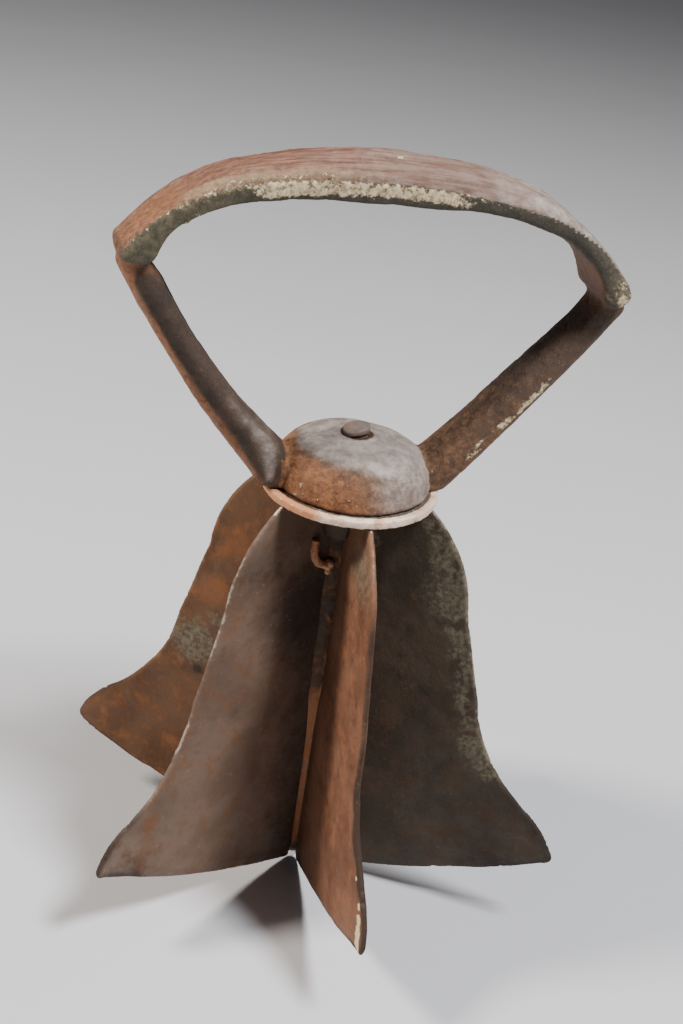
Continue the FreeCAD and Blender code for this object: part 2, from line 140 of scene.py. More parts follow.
def relax(mesh, rounds, weight=None):
    """Average each point with its neighbours.  weight (0 to 1 per point) limits where."""
    co = points_of(mesh)
    edges = np.empty(len(mesh.edges) * 2, dtype=np.int64)
    mesh.edges.foreach_get("vertices", edges)
    a, b = edges.reshape(-1, 2).T
    count = np.bincount(a, minlength=len(co)) + np.bincount(b, minlength=len(co))
    count = np.maximum(count, 1)[:, None]
    share = 1.0 if weight is None else weight[:, None]
    for _ in range(rounds):
        total = np.stack([
            np.bincount(a, co[b, k], len(co)) + np.bincount(b, co[a, k], len(co))
            for k in range(3)
        ], axis=1)
        co += (total / count - co) * RELAX_STEP * share
    set_points(mesh, co)


def hollows(mesh, rounds):
    """How deep each point lies below its smoothed surroundings, in metres; edges come out negative."""
    co, normal = points_of(mesh), normals_of(mesh)
    relax(mesh, rounds)
    depth = ((points_of(mesh) - co) * normal).sum(axis=1)
    set_points(mesh, co)
    return depth


def cloud(co, size, octaves=3, shift=0.0, stretch=(1.0, 1.0, 1.0)):
    """Fractal noise, about -1 to 1, with lumps size metres across."""
    scaled = co / (np.array(stretch) * size) + shift
    return np.array([noise.fractal(Vector(p), 1.0, 2.0, octaves) for p in scaled])


def ease(value, low, high):
    """0 below low, 1 above high, smooth between; it runs down where high is under low."""
    t = np.clip((value - low) / (high - low), 0.0, 1.0)
    return t * t * (3.0 - 2.0 * t)


def hump(value, centre, width):
    """1 at the centre, falling away on both sides like a bell; at one width it is down to 0.37."""
    return np.exp(-((value - centre) / width)**2)


def fade(gap, length):
    """1 where the gap is 0, and 0.37 of that at each further length."""
    return np.exp(-gap / length)


def blobs(co, spots):
    """Soft round spots: each is a place in millimetres, a radius in millimetres and a strength."""
    total = np.zeros(len(co))
    for place, radius, strength in spots:
        gap = np.linalg.norm(co - np.array(place) * MM, axis=1)
        total = np.maximum(total, strength * hump(gap, 0.0, radius * MM))
    return total


def paint(mesh, **layers):
    """Store per-point values that the material reads by name."""
    for name, values in layers.items():
        layer = mesh.attributes.new(name, "FLOAT", "POINT")
        layer.data.foreach_set("value", np.clip(values, 0.0, 1.0).astype(np.float32))


# ---------------------------------------------------------------- material tools

class Shader:
    """Short ways to add nodes to one material."""

    def __init__(self, name):
        self.material = bpy.data.materials.new(name)
        self.material.use_nodes = True
        self.nodes = self.material.node_tree.nodes
        self.links = self.material.node_tree.links
        self.surface = self.nodes["Principled BSDF"]
        self.place = self.nodes.new("ShaderNodeTexCoord").outputs["Object"]

    def plug(self, source, socket):
        if isinstance(source, bpy.types.NodeSocket):
            self.links.new(source, socket)
        elif isinstance(source, tuple):
            socket.default_value = (*source, 1.0)
        else:
            socket.default_value = source

    def layer(self, name):
        node = self.nodes.new("ShaderNodeAttribute")
        node.attribute_name = name
        return node.outputs["Fac"]

    def noise(self, size, detail=4.0, rough=0.6, warp=0.0, stretch=(1, 1, 1), shift=0.0):
        """Noise with lumps about size metres across, longer along the stretched axes."""
        squeeze = self.nodes.new("ShaderNodeMapping")
        squeeze.inputs["Scale"].default_value = [1.0 / s for s in stretch]
        squeeze.inputs["Location"].default_value = (shift, shift * 0.7, -shift)
        self.links.new(self.place, squeeze.inputs["Vector"])
        node = self.nodes.new("ShaderNodeTexNoise")
        node.inputs["Scale"].default_value = 1.0 / size
        node.inputs["Detail"].default_value = detail
        node.inputs["Roughness"].default_value = rough
        node.inputs["Distortion"].default_value = warp
        self.links.new(squeeze.outputs[0], node.inputs["Vector"])
        return node.outputs["Fac"]

    def range(self, value, low, high, out_low=0.0, out_high=1.0):
        node = self.nodes.new("ShaderNodeMapRange")
        node.interpolation_type = "SMOOTHSTEP"
        self.plug(value, node.inputs["Value"])
        for socket, number in zip(list(node.inputs)[1:5], (low, high, out_low, out_high)):
            socket.default_value = number
        return node.outputs["Result"]

    def math(self, kind, *values):
        node = self.nodes.new("ShaderNodeMath")
        node.operation = kind
        for value, socket in zip(values, node.inputs):
            self.plug(value, socket)
        return node.outputs[0]

    def total(self, *parts):
        """Sum of (share, value) pairs."""
        result = self.math("MULTIPLY", parts[0][1], parts[0][0])
        for share, value in parts[1:]:
            result = self.math("MULTIPLY_ADD", value, share, result)
        return result

    def mix(self, share, a, b):
        node = self.nodes.new("ShaderNodeMix")
        node.data_type = "RGBA"
        self.plug(share, node.inputs["Factor"])
        self.plug(a, node.inputs[6])
        self.plug(b, node.inputs[7])
        return node.outputs[2]

    def blend(self, share, a, b):
        """Mix of two plain numbers."""
        node = self.nodes.new("ShaderNodeMix")
        self.plug(share, node.inputs[0])
        self.plug(a, node.inputs[2])
        self.plug(b, node.inputs[3])
        return node.outputs[0]

    def patchy(self, layer, breakup, low=0.42, high=0.6, amount=0.9):
        """A painted layer whose border is broken up by noise."""
        shaken = self.math("MULTIPLY_ADD", breakup, amount, -0.5 * amount)
        return self.range(self.math("ADD", layer, shaken), low, high)

    def finish(self, colour, rough, metal, height, depth):
        bump = self.nodes.new("ShaderNodeBump")
        bump.inputs["Strength"].default_value = 1.0
        bump.inputs["Distance"].default_value = depth
        self.plug(height, bump.inputs["Height"])
        self.plug(colour, self.surface.inputs["Base Color"])
        self.plug(rough, self.surface.inputs["Roughness"])
        self.plug(metal, self.surface.inputs["Metallic"])
        self.surface.inputs["Specular IOR Level"].default_value = 0.3
        self.links.new(bump.outputs[0], self.surface.inputs["Normal"])
        return self.material


def cast_material():
    """Handle: mauve-brown rust, orange bloom, old green-black and cream paint, bare worn crowns with painted
    sheen and a painted highlight, and dark grime with painted shade.
    """
    s = Shader("rusted_cast_handle")
    broad = s.noise(9 * MM, 5)
    fine = s.noise(1.6 * MM, 6, 0.7)
    grit = s.noise(0.42 * MM, 4, 0.75)
    streaks = s.noise(0.9 * MM, 6, 0.7, stretch=(16, 1, 2.0))
    bands = s.noise(2.6 * MM, 5, 0.6, stretch=(9, 1, 1.5), shift=4.0)
    breakup = s.noise(3.2 * MM, 8, 0.72)
    crumbs = s.noise(1.1 * MM, 6, 0.75, shift=3.0)
    dark_rust = s.mix(s.range(broad, 0.35, 0.65), (0.048, 0.031, 0.022), (0.100, 0.061, 0.040))
    dark_rust = s.mix(s.range(fine, 0.42, 0.72, 0.0, 0.6), dark_rust, (0.035, 0.028, 0.024))
    brown_rust = s.mix(s.range(fine, 0.35, 0.7), (0.085, 0.045, 0.024), (0.20, 0.105, 0.055))
    rust = s.mix(s.patchy(s.layer("brown"), breakup, 0.35, 0.7, 0.9), dark_rust, brown_rust)
    top = s.mix(s.range(streaks, 0.40, 0.62), (0.125, 0.066, 0.046), (0.215, 0.145, 0.118))
    top = s.mix(s.range(bands, 0.50, 0.68, 0.0, 0.45), top, (0.30, 0.22, 0.185))
    top = s.mix(s.range(bands, 0.46, 0.36, 0.0, 0.45), top, (0.125, 0.048, 0.028))
    top = s.mix(s.range(fine, 0.52, 0.70, 0.0, 0.45), top, (0.105, 0.055, 0.038))
    top = s.mix(s.math("MULTIPLY", s.layer("red"), s.range(broad, 0.3, 0.6, 0.45, 0.85)), top,
                s.mix(s.range(streaks, 0.42, 0.60), (0.095, 0.036, 0.021), (0.25, 0.115, 0.074)))
    colour = s.mix(s.layer("top"), rust, top)
    bloom = s.mix(s.range(fine, 0.35, 0.7), (0.125, 0.047, 0.018), (0.35, 0.155, 0.066))
    bloom = s.mix(s.range(broad, 0.42, 0.66, 0.0, 0.45), bloom, (0.24, 0.125, 0.085))
    bloom = s.mix(s.range(breakup, 0.50, 0.62, 0.0, 0.5), bloom, (0.10, 0.050, 0.028))
    orange = s.patchy(s.layer("orange"), breakup, 0.15, 0.90, 1.1)
    colour = s.mix(orange, colour, bloom)
    # pale bare metal: worn, and also painted sheen on the dome's crown and the grip's top, and a painted
    # highlight along the left arm
    bare_tone = s.mix(s.range(breakup, 0.35, 0.65), (0.29, 0.235, 0.205), (0.48, 0.415, 0.372))
    bare = s.patchy(s.layer("bare"), breakup, 0.12, 0.88, 0.65)
    colour = s.mix(s.math("MULTIPLY", bare, 0.9), colour, bare_tone)
    olive = s.mix(s.range(fine, 0.35, 0.68), (0.055, 0.048, 0.031), (0.135, 0.116, 0.070))
    green_tone = s.mix(s.layer("olive"), s.mix(fine, (0.018, 0.016, 0.012), (0.090, 0.078, 0.057)), olive)
    green = s.patchy(s.layer("green"), breakup, 0.38, 0.58, 0.8)
    colour = s.mix(green, colour, green_tone)
    khaki = s.patchy(s.layer("khaki"), fine, 0.22, 1.0, 1.5)
    khaki_tone = s.mix(fine, (0.15, 0.105, 0.058), (0.44, 0.33, 0.20))
    colour = s.mix(s.math("MULTIPLY", khaki, 0.8), colour, khaki_tone)
    cream_tone = s.mix(s.range(crumbs, 0.36, 0.62), (0.30, 0.21, 0.11), (0.80, 0.65, 0.42))
    cream = s.patchy(s.layer("cream"), crumbs, 0.40, 0.58, 1.3)
    colour = s.mix(cream, colour, cream_tone)
    colour = s.mix(s.range(grit, 0.58, 0.72, 0.0, 0.55), colour, (0.03, 0.02, 0.016))
    colour = s.mix(s.range(grit, 0.42, 0.30, 0.0, 0.30), colour, (0.50, 0.40, 0.32))
    # dark grime in hollows, and painted shade: shadow lines at the dome's foot and round the rivet, and
    # shade across the left arm
    colour = s.mix(s.math("MULTIPLY", s.layer("crevice"), 0.85), colour, (0.02, 0.012, 0.008))
    rough = s.blend(bare, s.range(fine, 0.3, 0.7, 0.55, 0.85), 0.45)
    metal = s.math("MULTIPLY", bare, 0.3)
    crust = s.math("MULTIPLY", cream, crumbs)
    height = s.total((0.6, fine), (0.45, grit), (1.1, crust))
    return s.finish(colour, rough, metal, height, 0.40 * MM)


def steel_material(name, dark, mid, warm, worn, warm_share=0.5, blotch=0.55, shift=0.0):
    """Rusted sheet or bar steel.  worn is the tone of rubbed edges (the layer "edge")."""
    s = Shader(name)
    broad = s.noise(14 * MM, 4, 0.55, 0.3, shift=shift)
    mottle = s.noise(4.5 * MM, 7, 0.68, shift=shift + 1.7)
    fine = s.noise(1.1 * MM, 6, 0.72, shift=shift)
    grit = s.noise(0.35 * MM, 3, 0.7, shift=shift)
    scratches = s.noise(0.5 * MM, 3, 0.6, stretch=(1.0, 1.0, 16), shift=shift + 0.4)
    colour = s.mix(s.range(broad, 0.35, 0.65), dark, mid)
    colour = s.mix(s.range(mottle, 0.48, 0.70, 0.0, 0.75), colour, warm)
    warm_patch = s.patchy(s.layer("orange"), mottle, 0.20, 0.90, 1.3)
    colour = s.mix(s.math("MULTIPLY", warm_patch, warm_share), colour, warm)
    colour = s.mix(s.range(mottle, 0.44, 0.32, 0.0, blotch), colour, tuple(c * 0.55 for c in dark))
    grey = s.patchy(s.layer("grey"), s.blend(0.5, mottle, fine), 0.22, 0.95, 1.5)
    grey_tone = s.mix(s.range(fine, 0.35, 0.65), (0.080, 0.067, 0.043), (0.215, 0.185, 0.125))
    colour = s.mix(s.math("MULTIPLY", grey, 0.85), colour, grey_tone)
    # dark layer: grime, and painted shade near the hub, on the rivet's shank and under the plate
    soot = s.patchy(s.layer("soot"), mottle, 0.20, 0.90, 0.8)
    colour = s.mix(s.math("MULTIPLY", soot, 0.88), colour, (0.026, 0.018, 0.013))
    colour = s.mix(s.range(grit, 0.60, 0.74, 0.0, 0.45), colour, tuple(c * 0.35 for c in dark))
    colour = s.mix(s.range(fine, 0.58, 0.74, 0.0, 0.55), colour, tuple(min(1.0, c * 2.0) for c in mid))
    edge = s.patchy(s.layer("edge"), fine, 0.45, 0.75, 0.9)
    colour = s.mix(edge, colour, worn)
    cream = s.patchy(s.layer("cream"), fine, 0.42, 0.58, 0.7)
    colour = s.mix(cream, colour, s.mix(fine, (0.55, 0.36, 0.14), (0.86, 0.78, 0.55)))
    rough = s.blend(edge, s.range(mottle, 0.3, 0.7, 0.52, 0.82), 0.40)
    metal = s.blend(edge, 0.12, 0.75)
    height = s.total((0.9, mottle), (0.35, fine), (0.18, grit), (0.08, scratches))
    return s.finish(colour, rough, metal, height, 0.22 * MM)


# ---------------------------------------------------------------- handle casting

# Soft round spots of paint: place, radius (both in millimetres) and strength.
CREAM_SPOTS = [
    ((52.0, -9, 157.0), 3.4, 0.60), ((50.5, -9, 160.5), 3.0, 0.50), ((47.5, -9, 165.0), 2.4, 0.36),
    ((-43.0, -9, 168.0), 1.3, 0.55), ((-41.0, -9, 169.6), 1.1, 0.60), ((-50.5, -9, 156.8), 0.9, 0.40),
    ((-0.5, -3, 183.0), 0.9, 0.95),
]
KHAKI_SPOTS = [((51.0, -9, 159.0), 5.0, 0.5)]


def edge_height(co):
    """Height of the grip's rim above each point's place along X."""
    rim = (np.abs(co[:, 1]) > RIM_INSET) & (co[:, 2] > LUG_BASE)
    place = (co[:, 0] - HANDLE_LOW[0]) / (HANDLE_HIGH[0] - HANDLE_LOW[0]) * (RIM_CELLS - 1)
    cell = np.clip(place.round().astype(int), 0, RIM_CELLS - 1)
    table = np.full(RIM_CELLS, -1.0)
    np.maximum.at(table, cell[rim], co[rim, 2])
    return table[cell]


def arm_places(co):
    """Share of the way from an arm's inner edge (0) to its outer edge (1), and noise drawn out along it."""
    x, y, z = np.abs(co[:, 0]), co[:, 1], co[:, 2]
    rows = np.arange(112.0, 157.0, 3.0) * MM
    share = np.zeros_like(x)
    for side in (co[:, 0] < 0, co[:, 0] >= 0):
        arm = side & (x > 17.5 * MM) & (np.abs(y) < 6 * MM)
        slices = [x[arm & (np.abs(z - row) < 1.5 * MM)] for row in rows]
        inner = np.interp(z, rows, [points.min() for points in slices])
        outer = np.interp(z, rows, [points.max() for points in slices])
        share = np.where(side, (x - inner) / (outer - inner), share)
    flat = np.stack([share * 8 * MM, np.zeros_like(x), z * 0.22], axis=1)
    return share, cloud(flat, 1.6 * MM, 4, 21.0)


def arm_masks(co):
    """How far each point belongs to an arm, and to an arm's root beside the dome."""
    x, y, z = co.T
    root = np.maximum(ease(x, 14.5 * MM, 15.5 * MM), ease(-x, 16.3 * MM, 17.2 * MM)) * (np.abs(y) < 5.7 * MM)
    arms = ease(z, 160 * MM, 155 * MM) * ease(z, 108 * MM, 112 * MM)
    arms *= np.maximum(ease(np.abs(x), 17 * MM, 20 * MM), root)
    return arms, root


def smooth_casting(mesh):
    """Relax the skin all over, and much more at the lugs, the grip's corners and its front shoulder."""
    relax(mesh, 6)
    co = points_of(mesh)
    x, y, z = co.T
    reach = np.hypot(x, y)
    inside_dome = (reach < 15.2 * MM) & (z < 117.0 * MM) & (reach > 2.0 * MM)
    knee = hump(np.abs(x), 50 * MM, 6 * MM) * ease(z, 152 * MM, 157 * MM)
    ends = ease(np.abs(x), 49 * MM, 53 * MM) * ease(z, 153 * MM, 157 * MM)
    thin = hump(x, 39 * MM, 4 * MM) * (z > 160 * MM)
    corner = hump(x, -56 * MM, 5 * MM) * hump(z, 155 * MM, 5 * MM)
    shoulder = hump(y, GRIP_FRONT, 1.8 * MM) * hump(edge_height(co), z, 1.6 * MM) * (z > LUG_BASE)
    relax(mesh, 30, np.clip(0.3 * knee + ends + thin + corner + shoulder, 0, 1) * ~inside_dome)


def knock_casting(co, on_grip):
    """Where the casting is out of true: a grip worn at its back left and hanging in its middle, a left
    lug that stands out further, and a left arm with a fuller foot."""
    worn_back = ease(co[:, 0], -2 * MM, -26 * MM) * ease(co[:, 1], -4 * MM, 5 * MM)
    co[:, 2] -= 0.8 * MM * worn_back * on_grip
    underside = ease(edge_height(co) - co[:, 2], 1.5 * MM, 4.5 * MM) * on_grip * (np.abs(co[:, 0]) < 46 * MM)
    co[:, 2] -= 1.3 * MM * underside * hump(co[:, 0], -3 * MM, 20 * MM)
    notch = hump(co[:, 2], 159.2 * MM, 1.7 * MM) * ease(-co[:, 0], 50 * MM, 53.5 * MM)
    co[:, 0] -= 1.1 * MM * notch
    foot = hump(co[:, 0], -19 * MM, 4 * MM) * hump(co[:, 2], 114 * MM, 8 * MM)
    foot *= ease(-co[:, 1], 1 * MM, 4 * MM) * (np.hypot(co[:, 0], co[:, 1]) > 17.0 * MM)
    co[:, 1] -= 1.0 * MM * foot * (co[:, 1] > -5.9 * MM)


def crown_left_arm(co, at):
    """Round off the front of the left arm, across its width."""
    crown = (1.3 * (1 - (2 * at.share - 1)**2) - 0.5) * MM * (np.abs(at.share - 0.5) < 0.6)
    co[:, 1] -= crown * at.arms * ease(-co[:, 0], 17 * MM, 19.5 * MM) * ease(-co[:, 1], 0.5 * MM, 3 * MM)


def mark_faces(co, normal, at):
    """Add soft masks for the casting's faces.  drop is the depth below the grip's rim, and bend the depth
    at which its top rolls over into its front."""
    x, y, z = co.T
    at.drop = edge_height(co) - z
    at.bend = 0.8 * MM + 1.0 * MM * ease(np.abs(x), 48 * MM, 36 * MM)
    upright = ease(at.drop, at.bend - 0.7 * MM, at.bend + 0.3 * MM)
    at.side_face = ease(np.abs(y), 6.6 * MM, 7.8 * MM) * at.on_grip * upright
    at.front = ease(-normal[:, 1], 0.25, 0.75) * at.side_face
    at.back = ease(normal[:, 1], 0.25, 0.75) * at.side_face
    rolled = ease(-normal[:, 1], 0.2, 0.7) * ease(at.drop, at.bend + 0.4 * MM, at.bend - 0.3 * MM)
    at.top = np.maximum(ease(normal[:, 2], 0.15, 0.5), rolled) * at.on_grip
    at.near_front = ease(y, GRIP_FRONT + 2.4 * MM, GRIP_FRONT + 0.5 * MM) * at.on_grip
    at.left = ease(x, 10 * MM, -20 * MM)
    at.right = 1 - at.left
    at.splash = hump(at.share, 0.66, 0.13) * ease(z, 112 * MM, 117 * MM) * ease(z, 143 * MM, 134 * MM)


def cream_layer(co, at):
    """Cream paint: a crust along the grip's front, splashes at the right lug and arm, dome specks."""
    x, y, z = co.T
    rim_line = hump(at.drop, at.bend, 0.7 * MM) * at.near_front
    high_line = hump(at.drop, 0.4 * MM, 0.8 * MM) * at.near_front
    low_band = hump(at.drop, 3.5 * MM, 1.5 * MM) * at.front
    crust = rim_line * (0.34 + 0.16 * ease(x, -8 * MM, -30 * MM))
    crust += high_line * 0.46 * ease(x, -4 * MM, -16 * MM) * ease(x, -44 * MM, -36 * MM)
    crust += low_band * 0.74 * ease(x, -36 * MM, -26 * MM) * ease(x, 17 * MM, 7 * MM)
    crust += low_band * 0.24 * ease(x, 5 * MM, 12 * MM) * ease(x, 44 * MM, 30 * MM)
    on_dome = (np.hypot(x, y) < DOME_REACH) * (z < 119 * MM)
    specks = ease(cloud(co, 1.1 * MM, 2, 31.0), 0.60, 0.72) * on_dome * ease(y, 0, -4 * MM)
    arm_splash = at.arms * at.right * at.splash * (0.46 + 0.70 * at.grain)
    stain = at.back * ease(cloud(co, 12 * MM, 2, 5.0), -0.1, 0.4)
    return np.maximum.reduce([crust, blobs(co, CREAM_SPOTS), 0.62 * specks, arm_splash, 0.34 * stain])


def cast_skin(co, cream):
    """Height to add to each point: swells, lumps, pits and the thickness of the cream crust."""
    swell = cloud(co, 16 * MM, 3) * 0.26 * MM
    lumps = cloud(co, 4.0 * MM, 4, 7.0) * 0.13 * MM
    pits = -np.clip(cloud(co, 1.7 * MM, 3, 3.0) - 0.25, 0, 1) * 0.30 * MM
    crumbs = cloud(co, 2.2 * MM, 4, 11.0)
    crust = ease(cream + 0.45 * crumbs, 0.45, 0.7)
    return swell + lumps + pits + crust * (0.12 + 0.22 * crumbs) * MM


def orange_layer(co, normal, at):
    """Orange rust: the arms' outer faces, the dome's left and foot, the grip's left end, the right lug."""
    x, y, z = co.T
    outer = ease(normal[:, 0] * np.sign(x) * 0.8 - normal[:, 2] * 0.6, 0.15, 0.7)
    left_arm = np.maximum(1.1 * outer, 0.95 * ease(at.share, 0.60, 0.76))
    left_arm += 0.8 * ease(z, 117 * MM, 111 * MM) * ease(at.share, 0.3, 0.7)
    right_arm = 0.35 * outer + 0.22 * at.low
    dome_left = ease(0.9 * x - 0.2 * y + 1.5 * (z - 112 * MM), 17 * MM, -5 * MM)
    dome = ease(z, 119 * MM, 116 * MM) * (0.12 + 0.80 * dome_left)
    dome += 0.40 * ease(z, 113.0 * MM, 109.5 * MM) * ease(x, 12 * MM, 2 * MM)
    orange = at.arms * (at.left * left_arm + at.right * right_arm) + at.dome * dome
    orange += at.on_grip * 0.50 * ease(x, -36 * MM, -50 * MM) * (1 - at.side_face)
    orange += 0.30 * at.top * ease(x, 0, -35 * MM) * ease(y, 9 * MM, 0)
    orange += 0.55 * ease(x, 40 * MM, 46 * MM) * ease(-normal[:, 0], -0.1, 0.5) * ease(z, 150 * MM, 154 * MM)
    return orange


def green_layer(co, normal, at):
    """Old green-black paint: the grip's front and back, the left arm's front, the right arm's upper end."""
    facing = ease(-normal[:, 1] + 0.5 * normal[:, 0], 0.2, 0.9) * (1 - 0.6 * at.low)
    upper = ease(co[:, 2], 136 * MM, 152 * MM)
    return 0.72 * at.front + 0.35 * at.back + 0.40 * at.arms * (at.left * facing + at.right * upper)


def bare_layer(co, at, hollow):
    """Pale bare metal: worn on the dome's crown and right and on the grip's right half, where it is also
    painted sheen; a painted highlight along the left arm's rounded front; worn raised edges.
    """
    x, y, z = co.T
    crown = ease(z + 0.05 * x, 115.6 * MM, 118.8 * MM)
    # worn metal and painted sheen on the dome's crown and right side, and on the grip's top
    bare = at.dome * (0.82 * crown + 0.60 * ease(x - 0.3 * y, 0, 12 * MM))
    bare *= ease(at.reach, RIVET_RING, RIVET_RING + 1.0 * MM)
    bare += 0.60 * at.top * ease(x, 2 * MM, 36 * MM) * ease(x, 60 * MM, 42 * MM)
    bare += 0.30 * at.top * hump(x, -6 * MM, 14 * MM)
    # painted highlight along the ridge of the left arm's rounded front
    bare += at.arms * at.left * hump(at.share, 0.24, 0.20) * (0.03 + 0.52 * at.low)
    return bare + 0.45 * ease(-hollow, 0.10 * MM, 0.32 * MM) * (1 - at.front)


def crevice_layer(co, at, hollow):
    """Dark grime in hollows, and painted shade: a shadow line at the dome's foot, a shadow ring round the
    rivet, shaded bands across the left arm, and darker towards the right arm's upper end.
    """
    z = co[:, 2]
    # painted shadow line where the dome's foot meets the plate
    foot = at.dome * ease(z, 109.6 * MM, 108.6 * MM) * (at.reach > 16 * MM)
    # painted shadow round the rivet's head
    ring = at.dome * hump(at.reach, RIVET_RING, 0.5 * MM) * (z > 118 * MM)
    # painted shade across the left arm's rounded front: a dark band, its inner edge, and its upper part
    # under the grip
    band = hump(at.share, 0.56, 0.10) + 0.6 * ease(at.share, 0.10, 0.0)
    band += 0.75 * (1 - at.low) * ease(at.share, 0.75, 0.6)
    left_arm = at.arms * at.left * np.clip(band, 0, 1)
    right_arm = at.arms * at.right * ease(z, 138 * MM, 150 * MM)
    deep = ease(hollow, 0.06 * MM, 0.30 * MM)
    return np.maximum.reduce([foot, ring, 0.9 * deep, 0.72 * left_arm, 0.35 * right_arm])


def khaki_layer(co, at):
    """Dirty halo round the cream paint."""
    x, y = co[:, 0], co[:, 1]
    khaki = 0.72 * hump(at.drop, 0.3 * MM, 1.5 * MM) * ease(y, -3 * MM, -7 * MM) * at.on_grip
    khaki *= ease(x, 6 * MM, -14 * MM) * ease(x, -50 * MM, -42 * MM)
    left_half = ease(x, -8 * MM, -24 * MM) * ease(x, -46 * MM, -36 * MM)
    khaki += 0.55 * at.front * left_half * ease(at.drop, 3.5 * MM, 1.5 * MM)
    khaki += blobs(co, KHAKI_SPOTS) * (y < -5 * MM)
    return khaki + 0.2 * at.arms * at.right * at.splash


def handle():
    """The casting.  Masks for its parts are taken before the rough skin is added, and dome, low and
    reach after it."""
    piece = copy_of("handle_casting", "handle_casting_worn")
    remesh(piece, HANDLE_VOXEL)
    mesh = piece.data
    smooth_casting(mesh)
    co = points_of(mesh)
    normal = normals_of(mesh)
    hollow = hollows(mesh, 14)
    at = SimpleNamespace(on_grip=ease(co[:, 2], 152 * MM, 157 * MM))
    knock_casting(co, at.on_grip)
    at.share, at.grain = arm_places(co)
    at.arms, at.root = arm_masks(co)
    crown_left_arm(co, at)
    mark_faces(co, normal, at)
    cream = cream_layer(co, at)
    co += normal * cast_skin(co, cream)[:, None]
    set_points(mesh, co)
    x, y, z = co.T
    at.reach = np.hypot(x, y)
    at.dome = (1 - ease(at.reach, DOME_REACH, DOME_REACH + 1.0 * MM)) * (z < 124 * MM) * (1 - at.root)
    at.low = ease(z, 140 * MM, 114 * MM)
    paint(
        mesh,
        top=at.top,
        orange=orange_layer(co, normal, at),
        green=green_layer(co, normal, at),
        bare=bare_layer(co, at, hollow),
        cream=cream,
        crevice=crevice_layer(co, at, hollow),
        brown=0.35 * at.left + at.right * (0.40 + 0.30 * at.low),
        olive=at.front * (ease(x, -22 * MM, -40 * MM) + 0.5 * ease(x, 40 * MM, 50 * MM)),
        khaki=khaki_layer(co, at),
        red=at.top * ease(x, 4 * MM, -14 * MM),
    )
    return piece, cast_material()


# ---------------------------------------------------------------- blades

def plane_of(node):
    """The blade's two level directions, read from its mesh: out from the axis, and across its thickness."""
    middle = points_of(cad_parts[node].data).mean(axis=0)
    turn = math.atan2(middle[1], middle[0])
    along = np.array([math.cos(turn), math.sin(turn), 0.0])
    across = np.array([-along[1], along[0], 0.0])
    return along, across


def rim_of(node, along, across):
    """Places, in the blade's own plane, along its free edges: (reach, height), outward normal."""
    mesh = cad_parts[node].data
    co = points_of(mesh)
    places, outward = [], []
    for face in mesh.polygons:
        normal = np.array(face.normal)
        if abs(normal @ across) > 0.5:
            continue
        corners = co[list(face.vertices)]
        flat = np.stack([corners @ along, corners[:, 2]], axis=1)
        way = np.array([normal @ along, normal[2]])
        faces_axis = way[0] < -0.7
        in_the_plate = flat[:, 1].min() > PLATE_LOW[2] - 0.2 * MM
        if faces_axis or in_the_plate:
            continue
        for i in range(len(flat)):
            start, end = flat[i], flat[(i + 1) % len(flat)]
            steps = max(2, int(np.linalg.norm(end - start) / RIM_SPACING))
            for k in range(steps):
                places.append(start + (end - start) * k / steps)
                outward.append(way / np.linalg.norm(way))
    return np.array(places), np.array(outward)


def nearest_rim(places, outward, reach, height):
    """Each point's distance to the blade's free edge, and the outward way there."""
    tree = kdtree.KDTree(len(places))
    for i, place in enumerate(places):
        tree.insert((place[0], place[1], 0.0), i)
    tree.balance()
    found = [tree.find((r, h, 0.0)) for r, h in zip(reach, height)]
    gap = np.array([hit[2] for hit in found])
    way = outward[[hit[1] for hit in found]]
    return gap, way


def edge_thickness(gap, cutting):
    """Share of the plate's thickness left at each distance from the edge: rounded, or ground to cut."""
    rounded = np.sqrt(1 - (1 - np.clip(gap / (0.8 * MM), 0, 1))**2) * 0.7 + 0.3
    ground = 0.30 + 0.70 * np.clip(gap / (2.6 * MM), 0, 1)
    return rounded * (1 - cutting) + np.minimum(rounded, ground) * cutting


def nick_edge(look, reach, height):
    """How deep the look's own nicks bite into the edge, and how far each point lies in one."""
    bite, nicked = np.zeros_like(reach), np.zeros_like(reach)
    for nick_reach, nick_height, width, depth in look.get("nicks", ()):
        dent = hump(np.hypot(reach - nick_reach * MM, height - nick_height * MM), 0.0, width * MM)
        bite += depth * MM * dent
        nicked = np.maximum(nicked, dent)
    return bite, nicked


def blade_layers(look, at):
    """Paint values for one blade: its rubbed edges, grime and painted shade near the axis, and its look's
    own patches.
    """
    local = np.stack([at.reach, np.zeros_like(at.reach), at.height], axis=1)
    layers = {name: blobs(local, look.get(name, ())) for name in ("orange", "grey", "soot", "cream")}
    near_tip = look.get("tip", 1.0) * ease(at.reach, 44 * MM, 53 * MM)
    below_plate = look.get("rim", 0.0) * ease(at.height, 97 * MM, 85 * MM)
    # darker near the axis: grime, and painted shade where the blades meet
    layers["soot"] += 0.55 * ease(at.reach, look.get("soot_reach", 14) * MM, 3 * MM)
    layers["soot"] += 0.75 * fade(at.gap, 1.3 * MM) * near_tip
    layers["soot"] += fade(at.gap, 1.5 * MM) * below_plate
    if "fringe" in look:
        low, high, depth, share = look["fringe"]
        stain = hump(at.gap, 0.45 * depth * MM, 0.6 * depth * MM)
        stain *= ease(at.height, (low - 8) * MM, low * MM) * ease(at.height, (high + 8) * MM, high * MM)
        layers["grey"] += share * stain * (0.75 + 1.3 * cloud(at.flat, 3 * MM, 4, at.shift + 3))
    patch = 0.35 + 0.65 * ease(cloud(at.flat, 8 * MM, 4, at.shift + 7), -0.20, 0.25)
    patch += 0.3 * ease(at.height, 60 * MM, 80 * MM)
    rubbed = look.get("rub", 0.85) * fade(at.gap, 0.36 * MM) + 0.25 * at.cutting * fade(at.gap, 2.2 * MM)
    clean = (1 - np.clip(layers["soot"], 0, 1)) * (1 - 0.9 * at.nicked)
    return {"edge": rubbed * patch * clean, **layers}


